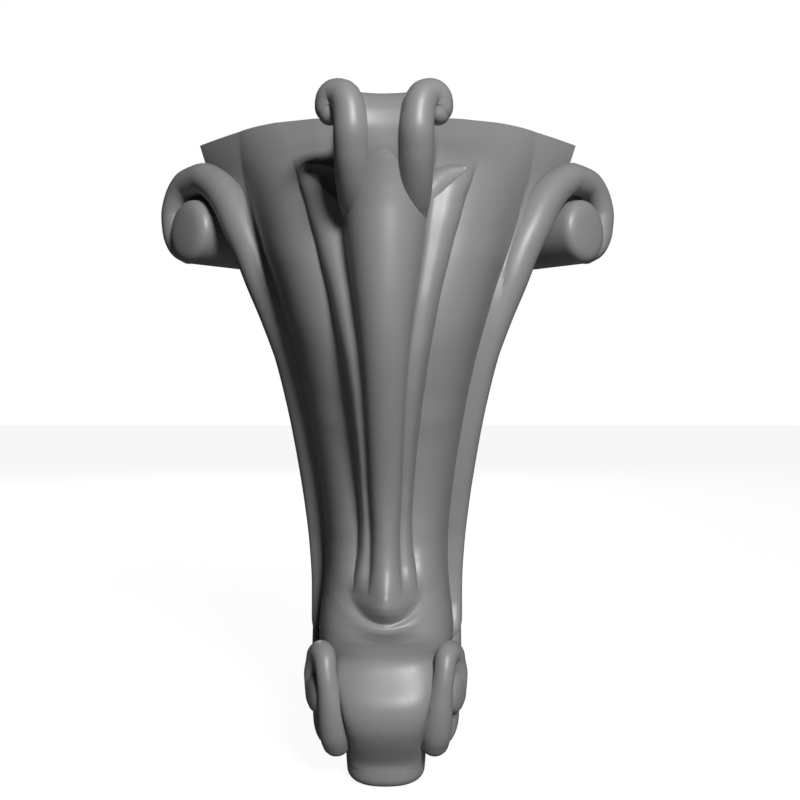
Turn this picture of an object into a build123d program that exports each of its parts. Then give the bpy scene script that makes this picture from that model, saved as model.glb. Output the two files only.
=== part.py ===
from build123d import *
from math import cos, radians, sin, sqrt
import os

# A carved corner leg for a sofa, chest or cabinet, cut from one block of wood.
# The front arris faces -Y, +Z is up, and the origin is the middle of the sole on the floor.
# Its two carved faces run back at 45 degrees to each side, and a square post stands behind them.

leg_height = 300.0          # floor to mounting face
ankle_height = 62.0         # floor to the ankle, just over the toe
head_height = 72.0          # knee to mounting face, where the wings and the scrolls are

# Sole pad that stands on the floor
pad_half_width = 17.8
pad_half_depth = 18.0
pad_height = 18.0
pad_corner = 9.0
pad_edge = 4.0

# Post behind the carved faces, a square set on its corner
post_reach = 75.0           # rear arris, behind the sole's middle

# Bore for the hanger bolt that holds the leg to the frame of the furniture
bolt_bore_diameter = 8.5
bolt_bore_depth = 45.0
bolt_setback = 38.0         # bolt axis, behind the sole's middle

# Mounting block with its two wings
nose_reach = 12.0           # front of the mounting face, behind the sole's middle
wing_corner = (97.0, 62.5)  # front corner at the mounting face
wing_thickness = 34.0

# Side scrolls: run along the wing, drop under the mounting face, stand out from the middle plane
scroll_run = 93.0
scroll_drop = 49.0
scroll_eye_radius = 15.5
scroll_eye_stand = 46.0
scroll_eye_edge = 3.0
scroll_floor_stand = 33.0
scroll_floor_radius = 21.0
scroll_floor_rise = 7.5     # the scroll's floor sits this much over the eye
scroll_back = 9.0           # back of the scroll behind the middle plane, level with the wing's inner face

# Crest of the knee between its two small scrolls
crest_half_width = 13.0
crest_reach = 64.6          # front of the saddle, before the sole's middle
crest_drop = 8.0            # top of the saddle under the mounting face

# Toe between the foot scrolls
toe_reach = 31.2
foot_eye_middle = (34.0, -14.8, 40.5)
foot_eye_root = 20.0        # how deep the eye goes into the foot
foot_eye_radius = 8.6
foot_eye_edge = 2.5
foot_eye_turn = 26.0        # degrees that the foot scroll looks forward of the side

roundness = 0.55            # handle of a quarter turn, as a share of its run
edge_back = 8.0             # the edge roll turns to the back over this depth

shaft_length = leg_height - ankle_height - head_height
diagonal = sqrt(0.5)


def shaft(share):
    """Height at a share of the shaft: 0 at the ankle, 1 at the knee."""
    return ankle_height + share * shaft_length


def head(share):
    """Height at a share of the head: 0 at the knee, 1 at the mounting face."""
    return leg_height - head_height * (1 - share)


# Carved lines of the leg, level by level: height, front of the rib, rib groove, bead groove,
# edge groove, side of the edge roll or corner of the wing, fullness of the bead and of the edge roll
carved_levels = (
    (shaft(0.0), -22.0, (7.2, -21.6), (14.2, -20.8), (31.0, 23.0), (36.1, 31.0), 1.0, 1.0),
    (shaft(0.03), -24.2, (7.2, -23.3), (14.2, -22.4), (31.1, 26.0), (36.4, 31.5), 1.0, 1.0),
    (shaft(0.06), -24.0, (7.2, -23.4), (14.2, -21.6), (30.7, 27.8), (36.4, 32.2), 1.0, 1.0),
    (shaft(0.11), -28.7, (7.4, -23.3), (14.2, -17.7), (29.9, 28.4), (36.5, 33.0), 1.0, 1.0),
    (shaft(0.16), -26.6, (7.2, -19.8), (14.0, -12.5), (29.4, 28.3), (36.8, 32.8), 1.0, 1.0),
    (shaft(0.21), -23.2, (6.4, -15.8), (13.1, -7.6), (29.2, 27.8), (37.4, 32.3), 1.0, 1.0),
    (shaft(0.28), -22.4, (6.1, -14.6), (12.0, -5.8), (29.4, 26.0), (38.3, 31.2), 1.0, 1.0),
    (shaft(0.38), -25.0, (6.8, -17.3), (12.1, -7.4), (30.8, 21.7), (40.3, 28.6), 1.0, 1.0),
    (shaft(0.5), -33.0, (7.5, -25.0), (13.7, -12.6), (33.3, 16.7), (43.2, 25.0), 1.0, 1.0),
    (shaft(0.62), -42.0, (8.4, -33.3), (15.8, -19.8), (36.5, 12.4), (46.8, 20.3), 1.0, 1.0),
    (shaft(0.74), -50.5, (9.9, -41.8), (18.3, -26.8), (40.5, 8.5), (51.3, 18.0), 1.0, 1.0),
    (shaft(0.86), -55.8, (12.2, -46.2), (21.8, -31.3), (45.7, 5.8), (57.2, 17.6), 1.0, 1.0),
    (shaft(0.97), -57.9, (14.6, -48.0), (25.6, -31.9), (50.8, 5.9), (63.8, 19.5), 0.95, 1.0),
    (head(0.11), -58.5, (16.6, -48.2), (29.0, -31.6), (55.6, 7.2), (70.3, 29.0), 0.85, 0.8),
    (head(0.26), -58.0, (19.0, -46.0), (32.2, -30.3), (59.2, 8.9), (76.0, 40.0), 0.72, 0.55),
    (head(0.4), -54.0, (22.8, -38.0), (35.0, -26.5), (62.0, 11.8), (81.0, 46.0), 0.6, 0.3),
    (head(0.56), -41.0, (25.0, -25.0), (39.0, -17.0), (65.5, 17.5), (85.5, 51.0), 0.48, 0.15),
    (head(0.76), -12.0, (24.0, -5.0), (44.5, 0.0), (69.6, 27.0), (91.0, 56.5), 0.34, 0.05),
    (head(1.0), nose_reach, (24.0, 13.5), (52.0, 20.7), (73.0, 37.3), wing_corner, 0.25, 0.0),
)

knee = 13       # the first thirteen levels are the shaft, and the head starts from the last of them

# The heel under the post, level by level: the same lines, then its inner corner and rear arris.
# Its top follows the foot of the shaft exactly.
ankle_lines = carved_levels[0][1:6]
ankle_inner = (ankle_lines[4][0] - edge_back / 3, ankle_lines[4][1] + edge_back)
heel_levels = (
    (16.5, -13.0, (7.0, -12.9), (14.0, -12.6), (22.0, -12.0), (25.5, -7.0), (25.5, 5.0), 29.0),
    (26.0, -15.0, (7.0, -14.8), (14.0, -14.2), (27.7, -11.5), (33.2, 4.5), (31.2, 16.5), 44.0),
    (42.0, -18.0, (7.2, -17.8), (14.2, -16.8), (29.6, 2.0), (34.8, 19.0), (32.5, 31.0), 63.0),
    (ankle_height, *ankle_lines, ankle_inner, sum(ankle_inner)),
)

# The toe, level by level: height, front, half width and side
toe_levels = (
    (ankle_height + 2, -22.3, 21.0, -16.0),
    (57.0, -21.8, 21.6, -16.0),
    (50.0, -24.6, 21.1, -18.5),
    (43.0, -29.0, 19.8, -21.5),
    (35.0, -toe_reach, 18.0, -23.0),
    (25.0, -28.6, 15.8, -21.0),
    (13.0, -20.5, 13.5, -15.0),
)


def level(height):
    return Plane.XY.offset(height)


def quarter(start, end, fullness=1.0):
    """A turn from facing the front to facing the side; with no fullness it is a straight line."""
    run, back = end[0] - start[0], end[1] - start[1]
    first = (roundness * run, (1 - fullness) * roundness * back)
    last = ((1 - fullness) * roundness * run, roundness * back)
    Bezier(start, (start[0] + first[0], start[1] + first[1]), (end[0] - last[0], end[1] - last[1]), end)


def carved_half(front, rib, bead, edge, side, bead_fullness, edge_fullness):
    """Right half of a level: rib, small rib, bead, edge roll, and a flat face back to the rear arris."""
    wing = wing_thickness * diagonal
    in_wing = side[1] > edge[1] + 15 or edge_fullness < 1
    inner = (side[0] - wing, side[1] + wing) if in_wing else (side[0] - edge_back / 3, side[1] + edge_back)
    quarter((0, front), rib)
    quarter(rib, bead)
    quarter(bead, edge, bead_fullness)
    quarter(edge, side, edge_fullness)
    Line(side, inner)
    Line(inner, (0, inner[0] + inner[1]))


def heel_half(front, rib, bead, edge, side, inner, rear):
    quarter((0, front), rib)
    quarter(rib, bead)
    quarter(bead, edge)
    quarter(edge, side)
    Line(side, inner)
    Line(inner, (0, rear))


# Small scroll of the crest: a round bar up the side of the saddle, curling outwards, back and down
with BuildPart() as crest_scroll:
    with BuildLine():
        crest_path = Bezier((11.5, -47, head(0)), (12.8, -48, head(0.22)), (14.4, -74, head(0.22)),
                            (11.5, -59, head(1.17)), (23.5, -55, head(0.74)))
    for share, radius in ((0, 5), (0.35, 6.2), (0.7, 5.8), (1, 3.4)):
        with BuildSketch(Plane(origin=crest_path @ share, x_dir=(0, -1, 0), z_dir=crest_path % share)):
            Circle(radius)
    loft()

# Side scroll: a round band grows out of the edge roll and curls over, outwards and under, about an eye
wing_face = Plane(origin=(0, 0, leg_height - scroll_drop), x_dir=(1, 1, 0), z_dir=(1, -1, 0))
with BuildPart() as side_band:
    with BuildLine(wing_face):
        band_path = Spline((44.4, -76, 14), (43.8, -50, 25), (50, -26, 31), (58, -6, 35), (70, 12, 36.2),
                           (86, 23.5, 36.5), (104.5, 21, 37), (117, 9, 38.5), (115.5, -6, 38))
    for share, radius in ((0, 5), (0.14, 6.4), (0.28, 8), (0.42, 8.8), (0.55, 8.5), (0.67, 7.8),
                          (0.78, 7.3), (0.89, 6.8), (1, 6)):
        with BuildSketch(Plane(origin=band_path @ share, x_dir=(1, -1, 0), z_dir=band_path % share)):
            Circle(radius)
    loft()
with BuildPart() as side_eye:
    with BuildSketch(wing_face.offset(scroll_floor_stand)):
        with Locations((scroll_run, scroll_floor_rise)):
            Circle(scroll_floor_radius)
    extrude(amount=-scroll_floor_stand - scroll_back)
    with BuildSketch(wing_face.offset(scroll_eye_stand)):
        with Locations((scroll_run, 0)):
            Circle(scroll_eye_radius)
    extrude(amount=-scroll_eye_stand - scroll_back)
    eye_rim = side_eye.edges().filter_by(GeomType.CIRCLE).sort_by(Axis((0, 0, 0), (1, -1, 0)))[-1]
    fillet(eye_rim, scroll_eye_edge)

# Foot scroll: a round band up beside the toe, curling over and down about a raised eye
looks = (cos(radians(foot_eye_turn)), -sin(radians(foot_eye_turn)), 0)
with BuildPart() as foot_band:
    with BuildLine():
        foot_path = Bezier((21, -16.5, 14.5), (24, -21.5, 15), (19.3, -35.7, 79.4), (36.5, 5.4, 61.6), (31, -10.5, 37))
    for share, radius in ((0, 4.4), (0.35, 5.4), (0.7, 4.8), (1, 3.6)):
        with BuildSketch(Plane(origin=foot_path @ share, x_dir=looks, z_dir=foot_path % share)):
            Circle(radius)
    loft()
with BuildPart() as foot_eye:
    with BuildSketch(Plane(origin=foot_eye_middle, z_dir=looks)):
        Circle(foot_eye_radius)
    extrude(amount=-foot_eye_root)
    fillet(foot_eye.faces().sort_by(Axis((0, 0, 0), looks))[-1].edges(), foot_eye_edge)

with BuildPart() as carved_leg:
    for levels in (carved_levels[:knee], carved_levels[knee - 1:]):
        for height, *lines in levels:
            with BuildSketch(level(height)):
                with BuildLine():
                    carved_half(*lines)
                    mirror(about=Plane.YZ)
                make_face()
        loft()

    for height, *lines in heel_levels:
        with BuildSketch(level(height)):
            with BuildLine():
                heel_half(*lines)
                mirror(about=Plane.YZ)
            make_face()
    loft()

    # Behind, the wings keep their thickness and the post its square corner
    notch = (post_reach - (wing_corner[1] - wing_corner[0] + wing_thickness / diagonal)) / 2
    beyond = leg_height / 2
    with BuildSketch(level(0)):
        with BuildLine():
            Polyline((0, post_reach), (notch, post_reach - notch), (notch + beyond, post_reach - notch + beyond),
                     (0, post_reach + beyond), close=True)
        make_face()
        mirror(about=Plane.YZ)
    extrude(amount=leg_height, mode=Mode.SUBTRACT)

    # Crest of the knee: a saddle that rolls over and runs back into the head
    crest_top = leg_height - crest_drop
    with BuildSketch(Plane.YZ):
        with BuildLine():
            Line((0, head(0)), (-48, head(0)))
            Spline((-48, head(0)), (4.6 - crest_reach, head(0.37)), (-crest_reach, head(0.64)),
                   (6.6 - crest_reach, crest_top - 4), (16.6 - crest_reach, crest_top), (-20, crest_top - 4),
                   (2, crest_top - 1))
            Line((2, crest_top - 1), (2, head(0)))
            Line((2, head(0)), (0, head(0)))
        make_face()
    extrude(amount=crest_half_width, both=True)

    # Toe: a full, rounded tongue between the foot scrolls
    for height, front, half_width, side in toe_levels:
        with BuildSketch(level(height)):
            with BuildLine():
                quarter((0, front), (half_width, side))
                Line((half_width, side), (half_width, 0))
                Line((half_width, 0), (0, 0))
                mirror(about=Plane.YZ)
            make_face()
    loft()

    # Sole pad
    with BuildSketch(level(0)):
        RectangleRounded(2 * pad_half_width, 2 * pad_half_depth, pad_corner)
    extrude(amount=pad_height)
    fillet(carved_leg.faces().sort_by(Axis.Z)[0].edges(), pad_edge)

    for piece in (crest_scroll, side_eye, side_band, foot_eye, foot_band):
        add(piece.part)
        add(piece.part.mirror(Plane.YZ))

    # Bore for the hanger bolt
    with Locations((0, bolt_setback, leg_height)):
        Hole(bolt_bore_diameter / 2, bolt_bore_depth)

carved_leg.part.label = "carved_leg"
os.makedirs("parts", exist_ok=True)
export_step(carved_leg.part, "parts/carved_leg.step")
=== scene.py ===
import math

import bmesh
import bpy
import numpy as np
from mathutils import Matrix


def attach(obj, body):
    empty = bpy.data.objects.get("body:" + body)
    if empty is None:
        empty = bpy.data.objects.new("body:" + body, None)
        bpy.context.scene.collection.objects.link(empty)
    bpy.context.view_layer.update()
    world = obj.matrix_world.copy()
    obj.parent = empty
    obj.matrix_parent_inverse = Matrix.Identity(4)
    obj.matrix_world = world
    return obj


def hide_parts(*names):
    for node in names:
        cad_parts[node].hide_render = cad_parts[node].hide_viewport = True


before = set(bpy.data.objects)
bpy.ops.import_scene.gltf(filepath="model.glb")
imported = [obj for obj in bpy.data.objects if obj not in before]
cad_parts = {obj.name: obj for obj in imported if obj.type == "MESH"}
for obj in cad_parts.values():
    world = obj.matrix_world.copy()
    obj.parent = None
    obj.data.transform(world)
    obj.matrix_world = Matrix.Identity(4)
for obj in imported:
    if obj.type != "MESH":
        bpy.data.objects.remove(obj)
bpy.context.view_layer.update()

# The shaft and the head are the main block of the carved leg. It is one piece of close-grained hardwood
# with a central rib, a smaller rib at each side of it, a broad bead and a rolled edge. All are cut with
# gouges along the S of the two front faces. A square post stands behind. Places are in millimetres.
MM = 0.001


def along(rail, heights):
    """Smooth curve through a rail's stations (height first), read at the heights asked for."""
    table = np.array(sorted(rail), float)
    z, values = table[:, 0], table[:, 1:]
    rise = np.diff(values, axis=0) / np.diff(z)[:, None]
    before, after = rise[:-1], rise[1:]
    same = before * after > 0
    level = np.where(same, 2 * before * after / np.where(same, before + after, 1), 0)
    slopes = np.vstack([rise[:1], level, rise[-1:]])
    at = np.clip(np.searchsorted(z, heights, side="right") - 1, 0, len(z) - 2)
    span = (z[at + 1] - z[at])[:, None]
    t = np.clip((np.asarray(heights) - z[at])[:, None] / span, 0, 1)
    return ((1 + 2 * t) * (1 - t) ** 2 * values[at] + t * (1 - t) ** 2 * span * slopes[at]
            + t * t * (3 - 2 * t) * values[at + 1] + t * t * (t - 1) * span * slopes[at + 1])


def turn(start, end, count, fullness=1.0, power=1.0):
    """Convex quarter turn from facing the front to facing the side. A fullness of 0 is a straight line,
    and a power under 1 keeps more of the turn facing the front."""
    t = np.linspace(0, 1, count, endpoint=False)[:, None]
    quarter = np.hstack([start[0] + (end[0] - start[0]) * np.sin(t * math.pi / 2) ** power,
                         start[1] + (end[1] - start[1]) * (1 - np.cos(t * math.pi / 2) ** power)])
    return fullness * quarter + (1 - fullness) * (start + t * (end - start))


def solid(name, rings):
    """Closed mesh through rings of equal count, with a flat face on each end."""
    rings = np.asarray(rings, float)
    rows, count = rings.shape[:2]
    index = np.arange(rows * count).reshape(rows, count)
    a, b = index[:-1], index[1:]
    quads = np.stack([a, np.roll(a, -1, 1), np.roll(b, -1, 1), b], -1).reshape(-1, 4)
    faces = [list(map(int, q)) for q in quads]
    faces += [[int(i) for i in index[0][::-1]], [int(i) for i in index[-1]]]
    mesh = bpy.data.meshes.new(name)
    mesh.from_pydata((rings.reshape(-1, 3) * MM).tolist(), [], faces)
    shape = bmesh.new()
    shape.from_mesh(mesh)
    bmesh.ops.recalc_face_normals(shape, faces=shape.faces)
    bmesh.ops.triangulate(shape, faces=[f for f in shape.faces if len(f.verts) > 4])
    shape.to_mesh(mesh)
    shape.free()
    return mesh


def both_sides(half):
    """Full ring from the half in front of you to the right, mirrored about the middle plane."""
    other = half[1:-1][::-1] * (-1, 1)
    return np.vstack([half, other])


# Rails of the carving: height first, then the place of each line, out to the right and back.
FRONT = ((8, -17.6), (11, -18.8), (14, -20.8), (19, -24.6), (24, -28), (29, -30.4), (34, -31.2),
         (38, -30.8), (42, -29.4), (46, -27), (50, -24.6), (54, -22.6), (58, -21.7), (62, -22),
         (65, -23.2), (67.5, -24.3), (69.5, -24), (72, -23.1), (75, -25.4), (78, -27.9), (81, -28.9),
         (84, -28.6), (88, -26.6), (92, -24.7), (97, -23.2), (105, -22.3), (112, -22.6), (121, -24),
         (131, -27), (141, -31), (152, -36), (169, -43.7), (185, -50.5), (200, -55), (216, -57.5),
         (232, -58.3), (244, -58.5), (252, -59.3), (258, -60.4), (264, -61.8), (268.5, -62.5),
         (271.5, -61.8), (274.5, -57), (280, -36), (287, -12), (300, 12))
ROOT_FRONT = ((8, -18), (62, -22), (65, -22.6), (68, -22.8), (71.5, -22.2), (74, -21.2), (78, -19),
              (84, -15.4), (90, -12), (97, -8.6), (300, -8))
LEDGE = ((8, 0), (64, 0), (67, 0.8), (69.5, 1.9), (71, 2.1), (72.2, 1.3), (73.8, 0), (300, 0))
DROP_HALF_WIDTH = ((8, 3), (71.5, 3), (72, 4), (73, 6.3), (75, 9.2), (78, 11.4), (82, 13.5), (86, 14.2),
                   (90, 14.1), (97, 13.4), (300, 13))
RIB_GROOVE = ((8, 6, -17.8), (24, 6.5, -27.3), (34, 7, -30.5), (50, 7.2, -24), (58, 7.2, -21.3),
              (62, 7.2, -21.6), (66, 7.2, -23.2), (70, 7.2, -23.3), (74, 7.2, -23.4), (79, 7.4, -23.4),
              (84, 7.4, -21.8), (90, 7, -18.6), (97, 6.4, -15.8), (110, 6.1, -14.6), (127.5, 6.9, -18),
              (144.5, 7.5, -24.8), (161, 8.2, -31.8), (176.5, 9.1, -37.8), (192, 10.5, -41.5),
              (208, 12.6, -42.2), (220, 14.3, -41.2), (232, 16, -40), (243, 17.2, -39), (250, 18, -38),
              (257, 18.6, -37), (264, 19.4, -34), (270, 20.5, -28.5), (277, 22, -18.5), (286, 23.5, -3),
              (300, 24, 13.5))
BEAD_GROOVE = ((8, 10, -15), (14, 11.5, -18.6), (24, 12, -25), (34, 13, -28), (42, 13.5, -26.2),
               (50, 14, -22), (57, 14.1, -20), (62, 14.2, -20.8), (66, 14.2, -22.3), (69, 14.2, -22.5),
               (73, 14.2, -21.4), (78, 14.2, -19), (84, 14.2, -15), (90, 13.9, -11), (97, 13.1, -7.6),
               (105.6, 12, -5.8), (115, 11.75, -6), (124, 12.1, -7.2), (133, 12.7, -9.2),
               (142, 13.4, -11.8), (151, 14.2, -14.6), (160, 15.2, -18.2), (169, 16.2, -20.9),
               (177, 17.3, -24), (186, 18.5, -27.1), (194, 19.8, -29.5), (202, 21.3, -31),
               (211, 22.9, -31.8), (219, 24.7, -32), (227, 26.8, -31.9), (236, 29, -31.6),
               (244, 31.4, -31), (252.6, 33.7, -29.6), (260, 36.2, -27), (268, 38.8, -21.5),
               (276, 41.6, -12), (285, 45.2, 1.5), (292, 48.2, 11), (300, 52, 20.7))
EDGE_GROOVE = ((8, 16.4, -6.5), (12, 16.6, -8.5), (17, 15.6, -15), (22, 15, -20.5), (28, 16.4, -23.5),
               (34, 17.8, -25), (40, 19.2, -24), (46, 20.4, -21), (52, 22, -15), (55, 24, -5),
               (57.5, 28, 11), (60, 30.6, 21.5), (62, 31, 23.5), (66, 31.1, 25.8), (72.5, 30.7, 27.8),
               (82, 29.7, 28.4), (92, 29.2, 28.2), (102, 29.2, 27.3), (112, 29.6, 24.9), (121, 30.4, 22.7),
               (131, 31.5, 20), (141, 32.7, 17.6), (150, 34.1, 15.5), (159.5, 35.6, 13.5),
               (169, 37.2, 11.6), (178, 39, 9.8), (187, 40.9, 8.2), (196, 43.1, 6.8), (205, 45.7, 5.8),
               (214.5, 48.4, 5.4), (224, 51.4, 6), (233, 54.6, 6.9), (242, 57.6, 7.9), (252, 60.7, 10),
               (262, 63.4, 13.8), (271, 66.5, 19.5), (280, 69, 25.5), (290, 71, 31.5), (300, 73, 37.3))
SIDE = ((8, 16.8, 0), (22, 17, -4), (50, 20, -5), (54, 22, 5), (57.5, 31, 25), (60, 35.6, 30.8),
        (64, 36.3, 31.4), (81, 36.5, 33), (100, 37.6, 32), (120, 39.7, 29.3), (140, 42.5, 26),
        (159, 45.6, 21.5), (178, 49.6, 18.3), (196.5, 54.7, 17.6), (215, 61, 17.8), (228, 66.4, 21),
        (236, 70.3, 29), (245, 75, 38.5), (262, 83.3, 48.8), (280, 89.8, 55.3), (300, 97, 62.5))
BACK = ((8, 12, 4), (50, 16, 5), (54, 18, 15), (57.5, 28, 37), (60, 32.6, 42), (81, 33.5, 41.5),
        (100, 34.6, 40.4), (120, 36.7, 38.3), (140, 39.5, 35.5), (159, 42.6, 32.4), (178, 46.6, 28.4),
        (196.5, 51.7, 25.5), (208, 50, 31), (215, 42, 41), (228, 40, 53.6), (236, 43.5, 57.1),
        (245, 49.7, 63.3), (262, 59.3, 72.9), (280, 65.8, 79.4), (300, 73, 86.6))
POST = ((8, 6, 6, 10), (50, 10, 10, 14), (56, 20, 25, 45), (61, 30.7, 44.3, 75), (300, 30.7, 44.3, 75))

# How round each roll is, and how much of the carving is there, by height.
RIB_FULLNESS = ((8, 1), (258, 1), (268, 0.6), (276, 0.2), (282, 0), (300, 0))
CARVED = ((8, 0), (84, 0), (88, 0.4), (93, 0.9), (96, 1), (300, 1))
FLATNESS = ((8, 2.2), (50, 2.4), (58, 3), (64, 3.4), (84, 2.8), (300, 2.6))
BEAD_FULLNESS = ((8, 1), (228, 0.95), (245, 0.75), (262, 0.55), (280, 0.35), (300, 0.25))
EDGE_FULLNESS = ((8, 1), (228, 1), (240, 0.7), (262, 0.2), (280, 0.06), (300, 0.04))

# Points along each part of a level, and the stretch of them over the groove beside the rib.
RIB_POINTS, SMALL_RIB_POINTS, BEAD_POINTS = 20, 19, 30
FACE_POINTS = RIB_POINTS + SMALL_RIB_POINTS + BEAD_POINTS
GROOVE = slice(RIB_POINTS - 4, RIB_POINTS + 7)
GROOVE_BEFORE = slice(GROOVE.start - 1, GROOVE.stop - 1)
GROOVE_AFTER = slice(GROOVE.start + 1, GROOVE.stop + 1)

# Heights and reaches at the rib's lower end, where it hangs over the foot.
TOE_TOP = 60
DROP_TIP = 71.5
DROP_BLEND = 2.0
DROP_FOOT = 0.8
LEDGE_RISE = 0.02
LEDGE_REACH = 14


def shaft_ring(z, front, root, rib, bead, edge, side, back, post, width, rib_full, carved, flat, bead_full,
               edge_full):
    """One level: rib, small rib, bead and edge roll; below them the plain root with the end of the rib."""
    ridge = rib + (bead - rib) * (0.3, 0.05)
    half = np.vstack([
        turn(np.array((0, front)), rib, RIB_POINTS),
        turn(rib, ridge, 5, 0.0),
        turn(ridge, bead, SMALL_RIB_POINTS - 5, rib_full),
        turn(bead, edge, BEAD_POINTS, bead_full),
        turn(edge, side, 16, edge_full, 0.75),
        turn(side[::-1], back[::-1], 6, 0.5)[:, ::-1],
        turn(back, post[:2], 5, 0.0),
        turn(post[:2], np.array((0, post[2])), 8, 0.0),
        [(0, post[2])],
    ])
    # The groove beside the rib is softened, as sanding leaves it.
    for _ in range(6):
        half[GROOVE] += 0.5 * ((half[GROOVE_BEFORE] + half[GROOVE_AFTER]) / 2 - half[GROOVE])
    x = half[:FACE_POINTS, 0]
    root = min(root, front) if z < TOE_TOP else root
    plain = root + (edge[1] - root) * (1 - (1 - np.clip(x / edge[0], 0, 1) ** flat) ** (1 / flat))
    # A thin ledge stands under the rib's end and rises to each side of it.
    plain -= along(LEDGE, z - LEDGE_RISE * x ** 2)[:, 0] * np.exp(-(x / LEDGE_REACH) ** 2)
    # The rib ends in a hanging drop: sharp along its middle above, round below.
    if z > DROP_TIP:
        crown = 0.2 + 0.9 * min(1, max(0, (85 - z) / 12))
        slope = (np.hypot(x / width, crown) - crown) / (math.hypot(1, crown) - crown)
        drop = front + (root + DROP_FOOT - front) * slope + 40 * np.clip(x / width - 1, 0, None) ** 2
        near = np.clip(DROP_BLEND - abs(plain - drop), 0, DROP_BLEND)
        plain = np.minimum(plain, drop) - near * near / (4 * DROP_BLEND)
    half[:FACE_POINTS, 1] = carved * half[:FACE_POINTS, 1] + (1 - carved) * plain
    ring = both_sides(half)
    return np.hstack([ring, np.full((len(ring), 1), z)])


heights = np.concatenate([np.arange(8, 60, 1.6), np.arange(60, 66, 0.7), np.arange(66, 88, 0.4),
                          np.arange(88, 100, 0.7), np.arange(100, 236, 2.2), np.arange(236, 275, 0.8),
                          np.arange(275, 299, 1.5), [300]])
lines = (FRONT, ROOT_FRONT, RIB_GROOVE, BEAD_GROOVE, EDGE_GROOVE, SIDE, BACK, POST, DROP_HALF_WIDTH,
         RIB_FULLNESS, CARVED, FLATNESS, BEAD_FULLNESS, EDGE_FULLNESS)
block = solid("shaft and head", [shaft_ring(z, *(v if len(v) > 1 else float(v[0]) for v in row))
                                 for z, *row in zip(heights, *(along(line, heights) for line in lines))])
carved = [block]

# The heel is under the post and one with it. It carries the rolled edges down behind the foot scrolls
# and draws in under them to the sole pad.
HEEL = ((10, 12, -8, 13, -4, 13, 4, 12, 16), (16.5, 20, -14, 24, -8, 24, 4, 20, 26),
        (19, 24, -16, 29, -8, 29, 6, 24, 33), (25, 27, -13, 33, 4, 31, 16, 20, 43),
        (34, 28.5, -7, 34, 12, 32, 24, 24, 54), (43, 29.5, 2, 34.6, 19, 32.5, 31, 27, 63),
        (52, 30.4, 13, 35.6, 27, 32.5, 38, 29, 70), (60, 30.6, 23.6, 35.8, 31.1, 32.4, 41.9, 30.5, 74.8),
        (66, 28, 32, 31, 35, 30, 39, 29, 70))


def heel_ring(z, row):
    """One level of the heel: its front is buried in the block, its sides and back are seen."""
    edge, side, back, wide, rear = row[0:2], row[2:4], row[4:6], row[6], row[7]
    half = np.vstack([
        turn(np.array((0, -12.0)), edge, 24),
        turn(edge, side, 10),
        turn(side[::-1], back[::-1], 6, 0.5)[:, ::-1],
        turn(back, np.array((0, rear)), 12, 0.0),
        [(0, rear)],
    ])
    ring = both_sides(half)
    return np.hstack([ring, np.full((len(ring), 1), z)])


heights = np.arange(10, 66.1, 1.4)
carved.append(solid("heel", [heel_ring(z, row) for z, row in zip(heights, along(HEEL, heights))]))


# The scrolls, carved in the same block. Each is a round band that grows out of an edge, curls over
# and comes down beside a raised eye: one pair on the crest, one under the wings and one at the foot.
# The share of a band's radius that is left at its very ends.
TIP = 0.05


def band(name, path, across=20, between=9):
    """Closed round bar through stations of x, y, z and radius, with rounded ends."""
    stations = np.array(path, float)
    share = np.linspace(0, len(stations) - 1, (len(stations) - 1) * between + 1)
    line = along([(i, *row) for i, row in enumerate(stations)], share)
    middle, radius = line[:, :3], line[:, 3]
    heading = np.gradient(middle, axis=0)
    heading /= np.linalg.norm(heading, axis=1)[:, None]
    cap = np.linspace(0, 1, 6)[1:] * math.pi / 2
    first = [(middle[0] - heading[0] * radius[0] * math.sin(c), heading[0],
              radius[0] * max(math.cos(c), TIP)) for c in cap[::-1]]
    last = [(middle[-1] + heading[-1] * radius[-1] * math.sin(c), heading[-1],
             radius[-1] * max(math.cos(c), TIP)) for c in cap]
    steps = first + list(zip(middle, heading, radius)) + last
    # Any way off the path will do to start from; it is then carried along without twist.
    side = np.cross(steps[0][1], (0.3, 0.2, 1.0))
    rings = []
    angle = np.linspace(0, 2 * math.pi, across, endpoint=False)[:, None]
    for centre, way, r in steps:
        side = side - way * np.dot(side, way)
        side /= np.linalg.norm(side)
        rings.append(centre + r * (np.cos(angle) * side + np.sin(angle) * np.cross(way, side)))
    return solid(name, rings)


def lathe(name, middle, axis, profile, across=56):
    """Closed turned shape: profile of radius and stand along the axis, from the face inwards."""
    axis = np.array(axis, float) / np.linalg.norm(axis)
    side = np.cross(axis, (0, 0, 1.0))
    side /= np.linalg.norm(side)
    up = np.cross(side, axis)
    angle = np.linspace(0, 2 * math.pi, across, endpoint=False)[:, None]
    return solid(name, [np.array(middle) + axis * stand + r * (np.cos(angle) * side + np.sin(angle) * up)
                        for r, stand in profile])


def mirrored(mesh):
    """The same shape on the other side of the middle plane, with its faces turned outwards again."""
    other = mesh.copy()
    shape = bmesh.new()
    shape.from_mesh(other)
    for v in shape.verts:
        v.co.x = -v.co.x
    bmesh.ops.reverse_faces(shape, faces=shape.faces)
    shape.to_mesh(other)
    shape.free()
    return other


crest_band = band("crest band", (
    (10.4, -33, 236, 4.5), (11.2, -40.5, 244, 6), (12, -48.5, 251, 6.9), (12.4, -55, 258, 7),
    (12.7, -60.4, 266, 6.9), (12.8, -63.2, 274, 6.8), (13.4, -62.6, 281.2, 6.5), (15.6, -60.4, 286.9, 6.3),
    (19, -58, 288.4, 6), (21.4, -56.8, 286.6, 5.6), (22, -56.4, 283.4, 5.2), (21.4, -56.6, 281.2, 4.5)))
ROOT2 = math.sqrt(2)
SCROLL_HEIGHT = 251


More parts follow.
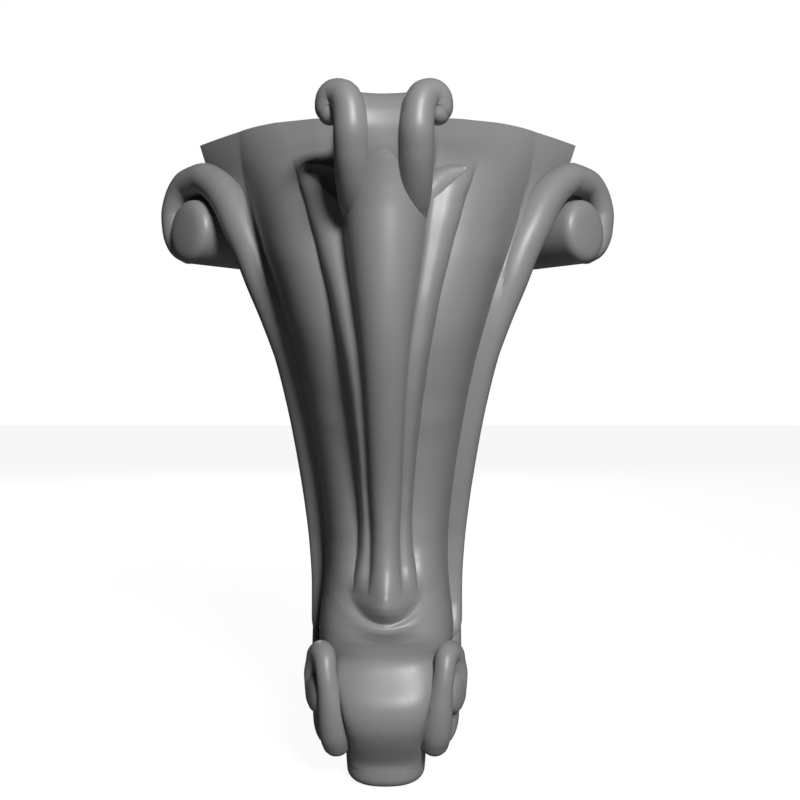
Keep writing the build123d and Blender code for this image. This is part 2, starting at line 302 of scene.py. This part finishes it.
def wing_place(run, drop, stand):
    """Place on the right wing's face: run out along it, height from the scroll's middle, stand off it."""
    return (run + stand) / ROOT2, (run - stand) / ROOT2, SCROLL_HEIGHT + drop


side_band = band("side band", (
    (34.6, 25, 128, 2.2), (40.4, 18, 165, 4.4), (45.6, 14.6, 188, 6), (51.5, 13.2, 208, 7.3),
    (57.3, 13.4, 224, 8.2), (*wing_place(55, -12, 33.8), 8.7), (*wing_place(60.8, -1, 35.5), 8.9),
    (*wing_place(69.5, 12, 36.2), 8.6), (*wing_place(80.5, 21.5, 36.5), 8.1),
    (*wing_place(92, 26.5, 36.8), 7.6), (*wing_place(103, 26, 37.1), 7.2),
    (*wing_place(111.5, 20.5, 37.4), 6.9), (*wing_place(115.4, 11, 37.5), 6.8),
    (*wing_place(114.8, 2.5, 37.3), 6.5), (*wing_place(111.3, -4.6, 36.8), 6),
    (*wing_place(106, -8.6, 35.5), 5.2)), across=28)
WING_FACING = (1, -1, 0)
side_eye = lathe("side eye", wing_place(93, 0, 0), WING_FACING, (
    (0.4, 47), (5, 46.9), (9, 46.6), (11.6, 46.1), (13.4, 45.2), (14.7, 43.9), (15.3, 42.4), (15.5, 40.5),
    (15.5, 20), (15.5, 0), (15.5, -9), (0.4, -9)))
side_floor = lathe("side floor", wing_place(96, 9, 0), WING_FACING, (
    (0.4, 30), (20, 30), (21, 29), (21, -9), (0.4, -9)))
foot_band = band("foot band", (
    (21.4, -14.6, 20, 6.4), (21.9, -17.2, 25, 6.9), (22.6, -19.4, 32, 6.5), (23.6, -20.9, 40, 5.5),
    (24.6, -21.3, 46.5, 4.7), (25.5, -20.4, 52, 4.5), (26.2, -17.8, 56.6, 4.9), (27.6, -14, 58.4, 5.3),
    (29.2, -10.6, 57, 5.4), (30.5, -8.8, 52.6, 5), (31.9, -7.8, 47, 4.4), (31.8, -8.6, 42, 4.1),
    (30.8, -10.8, 37, 3.7)))
foot_eye = lathe("foot eye", (30.6, -13, 40.5), (0.9, -0.44, 0), (
    (0.4, 3.4), (3, 3.3), (5.4, 2.9), (7.2, 2), (8.2, 0.8), (8.6, -1), (8.6, -16), (0.4, -16)))
for mesh in (crest_band, side_band, side_eye, side_floor, foot_band, foot_eye):
    carved += [mesh, mirrored(mesh)]

# The saddle of the crest is between its two bands. It comes out of the rib, is hollowed a little across,
# rolls over at the top and runs back into the head. Its rows are place back, height and bend across.
SADDLE = ((-48, 240, 0.03), (-55, 250, 0.03), (-58.6, 257, 0.028), (-61.2, 263, 0.02), (-62.9, 269, 0.006),
          (-63.6, 275, -0.006), (-62.8, 280.5, -0.008), (-59.6, 286, -0.006), (-54.5, 289.9, 0),
          (-48, 291.2, 0), (-38, 290.4, 0), (-20, 287.6, 0), (2, 290, 0))

# The top of the saddle is lifted towards its sides, out to the lip.
SADDLE_HALF_WIDTH = 12.5
LIP = 9
share = np.linspace(0, len(SADDLE) - 1, (len(SADDLE) - 1) * 6 + 1)
saddle_line = along([(i, *row) for i, row in enumerate(SADDLE)], share)
rings = []
for x in np.linspace(-SADDLE_HALF_WIDTH, SADDLE_HALF_WIDTH, 27):
    lifted = 0.006 * min(abs(x), LIP) ** 2
    top = [(x, y + bend * x * x, z + lifted * min(1, max(0, (z - 280) / 8))) for y, z, bend in saddle_line]
    rings.append(np.array(top + [(x, 2, 244), (x, -30, 236)]))
carved.append(solid("saddle", rings))

# The sole pad is the small round block that stands on the floor. Its lower edge is rounded and its wall
# widens a little upwards into the toe.
PAD_EDGE = 4.5


def pad_ring(z, inset):
    """One level of the pad, a circle drawn a little towards a square."""
    angle = np.linspace(0, 2 * math.pi, 64, endpoint=False)
    wide, deep = np.cos(angle), np.sin(angle)
    grown = max(0, z - PAD_EDGE) * 0.075 - inset
    return np.stack([(17.5 + grown) * np.sign(wide) * abs(wide) ** 0.86,
                     (18 + grown) * np.sign(deep) * abs(deep) ** 0.86, np.full(64, z)], -1)


rounding = np.linspace(0, math.pi / 2, 8)
carved.append(solid("pad", [pad_ring(PAD_EDGE * (1 - math.cos(t)), PAD_EDGE * (1 - math.sin(t)))
                            for t in rounding] + [pad_ring(z, 0) for z in (8, 14, 18)]))

# A gouge cut beside each crest band ends the small rib in a short pocket.
pocket = band("pocket", (
    (17.4, -41, 246, 1.2), (18.6, -40.5, 252, 3), (20.6, -39.5, 258, 5.4), (24.4, -37.5, 263, 5.8),
    (29, -33.5, 266, 4.6), (34, -29, 267.5, 2.4)))
pockets = [pocket, mirrored(pocket)]

# All of these are one piece of wood, so they are joined into one closed skin.
whole = bpy.data.objects.new("leg_carving", carved[0])
bpy.context.scene.collection.objects.link(whole)
parts = []
for mesh in pockets + carved[1:]:
    part = bpy.data.objects.new(mesh.name, mesh)
    bpy.context.scene.collection.objects.link(part)
    parts.append(part)
    join = whole.modifiers.new(mesh.name, "BOOLEAN")
    join.operation = "DIFFERENCE" if mesh in pockets else "UNION"
    join.solver, join.object = "MANIFOLD", part
joined = bpy.data.meshes.new_from_object(whole.evaluated_get(bpy.context.evaluated_depsgraph_get()))
whole.modifiers.clear()
whole.data = joined
joined.name = "carved leg"
for part in parts:
    bpy.data.objects.remove(part)
joined.shade_smooth()
joined.set_sharp_from_angle(angle=math.radians(38))

# Its finish is an even satin grey paint over close-grained wood, sprayed on after carving. The grain
# of the wood stands a little through it, along the leg's height.
paint = bpy.data.materials.new("painted_wood")
paint.use_nodes = True
nodes, links = paint.node_tree.nodes, paint.node_tree.links
shader = nodes["Principled BSDF"]
where = nodes.new("ShaderNodeTexCoord")
stretched = nodes.new("ShaderNodeMapping")
stretched.inputs["Scale"].default_value = (1, 1, 0.07)
grain = nodes.new("ShaderNodeTexNoise")
grain.inputs["Scale"].default_value, grain.inputs["Detail"].default_value = 900, 4
cloud = nodes.new("ShaderNodeTexNoise")
cloud.inputs["Scale"].default_value, cloud.inputs["Detail"].default_value = 28, 3
colour = nodes.new("ShaderNodeMapRange")
colour.inputs["To Min"].default_value, colour.inputs["To Max"].default_value = 0.27, 0.295
gloss = nodes.new("ShaderNodeMapRange")
gloss.inputs["To Min"].default_value, gloss.inputs["To Max"].default_value = 0.41, 0.48
bump = nodes.new("ShaderNodeBump")
bump.inputs["Strength"].default_value, bump.inputs["Distance"].default_value = 0.12, 0.0002
links.new(where.outputs["Object"], stretched.inputs["Vector"])
links.new(stretched.outputs["Vector"], grain.inputs["Vector"])
links.new(where.outputs["Object"], cloud.inputs["Vector"])
links.new(cloud.outputs["Fac"], colour.inputs["Value"])
links.new(grain.outputs["Fac"], gloss.inputs["Value"])
links.new(grain.outputs["Fac"], bump.inputs["Height"])
links.new(colour.outputs["Result"], shader.inputs["Base Color"])
links.new(gloss.outputs["Result"], shader.inputs["Roughness"])
links.new(bump.outputs["Normal"], shader.inputs["Normal"])
shader.inputs["Specular IOR Level"].default_value = 0.7
whole.data.materials.clear()
whole.data.materials.append(paint)

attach(whole, "root")
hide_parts("carved_leg")

# The studio: a pale floor, a pale background, a key lamp at the upper right and a soft one behind.
def seen_plainly(nodes, links):
    """Socket that is 1 for rays from the camera, also through glass, and 0 for rays that carry light."""
    ray = nodes.new("ShaderNodeLightPath")
    seen = nodes.new("ShaderNodeMath")
    seen.operation = "MAXIMUM"
    links.new(ray.outputs["Is Camera Ray"], seen.inputs[0])
    links.new(ray.outputs["Is Transmission Ray"], seen.inputs[1])
    return seen.outputs[0]


floor_mesh = bpy.data.meshes.new("floor")
floor_mesh.from_pydata([(-6, -6, 0), (6, -6, 0), (6, 6, 0), (-6, 6, 0)], [], [(0, 1, 2, 3)])
floor = bpy.data.objects.new("floor", floor_mesh)
bpy.context.scene.collection.objects.link(floor)
pale = bpy.data.materials.new("pale floor")
pale.use_nodes = True
nodes, links = pale.node_tree.nodes, pale.node_tree.links
surface = nodes["Principled BSDF"]
surface.inputs["Base Color"].default_value = (0.13, 0.13, 0.13, 1)
surface.inputs["Roughness"].default_value = 0.9
glow = nodes.new("ShaderNodeMath")
glow.operation = "MULTIPLY"
glow.inputs[1].default_value = 0.92
links.new(seen_plainly(nodes, links), glow.inputs[0])
surface.inputs["Emission Color"].default_value = (1, 1, 1, 1)
links.new(glow.outputs[0], surface.inputs["Emission Strength"])
floor.data.materials.append(pale)

world = bpy.data.worlds.new("studio")
bpy.context.scene.world = world
world.use_nodes = True
nodes, links = world.node_tree.nodes, world.node_tree.links
background = nodes["Background"]
background.inputs["Color"].default_value = (1, 1, 1, 1)
level = nodes.new("ShaderNodeMapRange")
level.inputs["To Min"].default_value = 0.004
level.inputs["To Max"].default_value = 1.0
links.new(seen_plainly(nodes, links), level.inputs["Value"])
links.new(level.outputs["Result"], background.inputs["Strength"])


# Height of the middle of the leg, in metres.
MIDDLE = 0.15


def lamp(name, azimuth, elevation, distance, size, power):
    """Square soft lamp aimed at the middle of the leg. Its azimuth is to the right of the viewer."""
    data = bpy.data.lights.new(name, "AREA")
    data.size, data.energy = size, power
    a, e = math.radians(azimuth), math.radians(elevation)
    way = np.array((math.sin(a) * math.cos(e), -math.cos(a) * math.cos(e), math.sin(e)))
    lamp_object = bpy.data.objects.new(name, data)
    lamp_object.location = way * distance + (0, 0, MIDDLE)
    lamp_object.rotation_euler = (math.pi / 2 - e, 0, a)
    bpy.context.scene.collection.objects.link(lamp_object)


lamp("key", 19, 32, 1.6, 0.36, 25)
lamp("back", 188, 24, 1.8, 0.8, 9)

# The camera stands level, 436 mm in front of the leg's axis and 169 mm above the floor.
camera_data = bpy.data.cameras.new("camera")
camera_data.sensor_width, camera_data.lens = 36, 43.47
camera_data.clip_start = 0.01
camera = bpy.data.objects.new("camera", camera_data)
camera.location = (0.0063, -0.436, 0.1688)
camera.rotation_euler = (math.pi / 2, 0, 0)
bpy.context.scene.collection.objects.link(camera)
bpy.context.scene.camera = camera
bpy.context.scene.view_settings.view_transform = "Standard"
